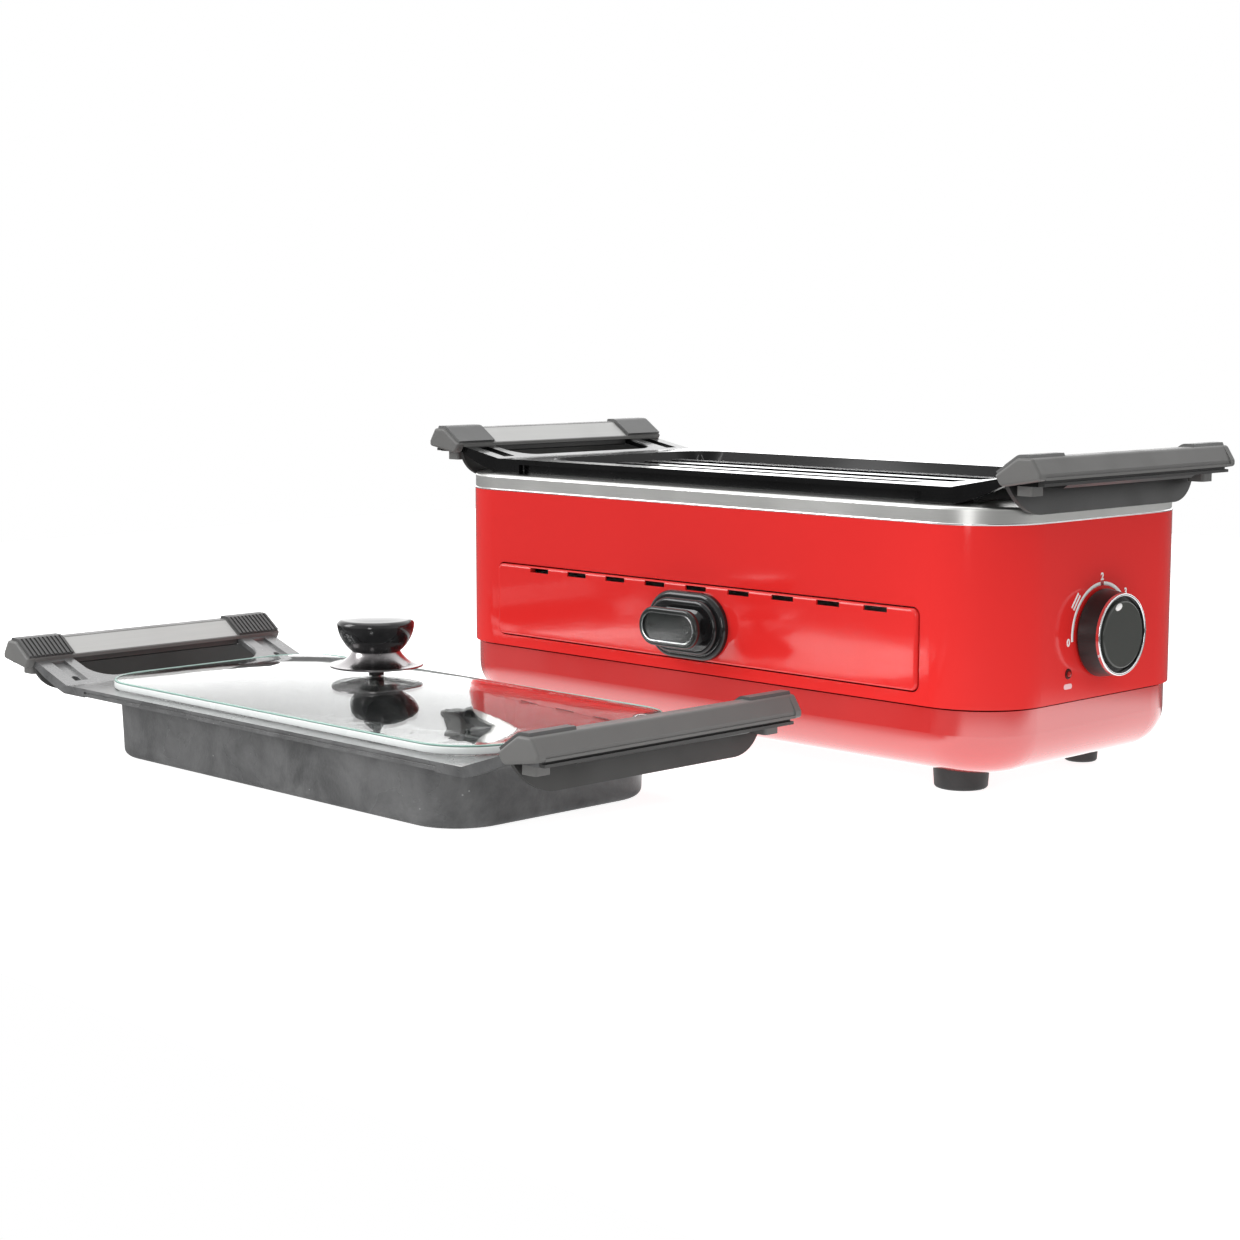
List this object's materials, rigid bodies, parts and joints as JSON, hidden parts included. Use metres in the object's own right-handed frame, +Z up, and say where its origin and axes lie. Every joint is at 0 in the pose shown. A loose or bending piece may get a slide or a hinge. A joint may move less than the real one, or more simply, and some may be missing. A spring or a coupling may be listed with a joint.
{
  "type": "electric table grill with lidded pan",
  "caption": "Electric table grill with slide-out drip drawer, temperature dial and lift-off slotted plate, with a deep pan under a domed glass lid.",
  "frame": {"origin": "on the table, in the middle of the ground rectangle that the whole set covers, with the pan standing in front of the housing and to its left", "axes": "+X to the right seen from the front, along the drawer front; +Y to the back; +Z up"},
  "size_m": [0.5, 0.3962, 0.1622],
  "materials": {
    "shell_red": "high gloss enamel",
    "tub_red": "high gloss",
    "drawer_red": "high gloss enamel",
    "band_steel": "fine brushed, bright edge",
    "liner_steel": "bare sheet",
    "tray_steel": "bare sheet",
    "runner_steel": "bare sheet",
    "element_tube": "heat darkened tube",
    "bush_white": "matt, ceramic look",
    "clip_steel": "bare strip",
    "foot_rubber": "matt",
    "screw_steel": "bright zinc",
    "control_body": "matt",
    "nut_steel": "bright",
    "shaft_steel": "turned",
    "dial_black": "satin gloss",
    "dial_chrome": "polished",
    "dial_face": "gloss",
    "lamp_red": "clear deep red",
    "inlet_black": "fine matt",
    "pin_brass": "plated",
    "terminal_white": "matt",
    "pull_black": "satin gloss",
    "pull_face": "gloss",
    "pull_chrome": "polished",
    "plate_black": "glossy non-stick coating",
    "pan_grey": "hammered non-stick coating",
    "grip_grey": "fine grain satin",
    "grip_silver": "fine brushed",
    "cap_grey": "soft matt",
    "guard_grey": "fine matt",
    "lid_glass": "clear, pale green edge",
    "knob_chrome": "polished",
    "knob_black": "gloss",
    "seal_rubber": "matt"
  },
  "bodies": {
    "housing": {"upper_shell": "shell_red", "base_tub": "tub_red", "steel_band": "band_steel", "heat_liner": "liner_steel", "heating_element": "element_tube", "element_bushes": "bush_white", "element_clips": "clip_steel", "thermostat": "control_body", "thermostat_nut": "nut_steel", "terminal_block": "terminal_white", "indicator_lamp": "lamp_red", "power_inlet": "inlet_black", "inlet_pins": "pin_brass", "drawer_runner_left": "runner_steel", "drawer_runner_right": "runner_steel", "foot_front_left": "foot_rubber", "foot_front_right": "foot_rubber", "foot_rear_left": "foot_rubber", "foot_rear_right": "foot_rubber", "foot_screws": "screw_steel"},
    "drawer": {"drawer_front": "drawer_red", "drawer_tray": "tray_steel", "pull_base": "pull_black", "pull_grip": "pull_face", "pull_ring": "pull_chrome", "pull_screws": "screw_steel"},
    "dial": {"dial_knob": "dial_black", "dial_ring": "dial_chrome", "dial_cap": "dial_face", "dial_shaft": "shaft_steel"},
    "plate": {"grill_plate": "plate_black", "plate_left_grip_shell": "grip_grey", "plate_left_grip_insert": "grip_silver", "plate_left_grip_caps": "cap_grey", "plate_left_grip_guard": "guard_grey", "plate_right_grip_shell": "grip_grey", "plate_right_grip_insert": "grip_silver", "plate_right_grip_caps": "cap_grey", "plate_right_grip_guard": "guard_grey", "plate_grip_feet": "grip_grey", "plate_grip_screws": "screw_steel"},
    "deep_pan": {"pan": "pan_grey", "pan_left_grip_shell": "grip_grey", "pan_left_grip_insert": "grip_silver", "pan_left_grip_caps": "cap_grey", "pan_left_grip_guard": "guard_grey", "pan_right_grip_shell": "grip_grey", "pan_right_grip_insert": "grip_silver", "pan_right_grip_caps": "cap_grey", "pan_right_grip_guard": "guard_grey", "pan_grip_feet": "grip_grey", "pan_grip_screws": "screw_steel"},
    "lid": {"lid_glass": "lid_glass", "lid_spacer": "seal_rubber", "lid_knob_skirt": "knob_chrome", "lid_knob": "knob_black", "lid_washer": "seal_rubber", "lid_screw": "screw_steel"}
  },
  "joints": [
    {"name": "drawer_slide", "type": "slide", "parent": "housing", "child": "drawer", "axis": [0, -1, 0], "range_m": [0, 0.05]},
    {"name": "dial_turn", "type": "hinge", "parent": "housing", "child": "dial", "pos_m": [0.2295, 0.11145, 0.0742], "axis": [-1, 0, 0], "range_deg": [-75, 165]},
    {"name": "plate_lift", "type": "slide", "parent": "housing", "child": "plate", "axis": [0, 0, 1], "range_m": [0, 0.08]},
    {"name": "pan_lift", "type": "slide", "parent": "housing", "child": "deep_pan", "axis": [0, 0, 1], "range_m": [0, 0.1]},
    {"name": "lid_lift", "type": "slide", "parent": "deep_pan", "child": "lid", "axis": [0, 0, 1], "range_m": [0, 0.08]}
  ]
}
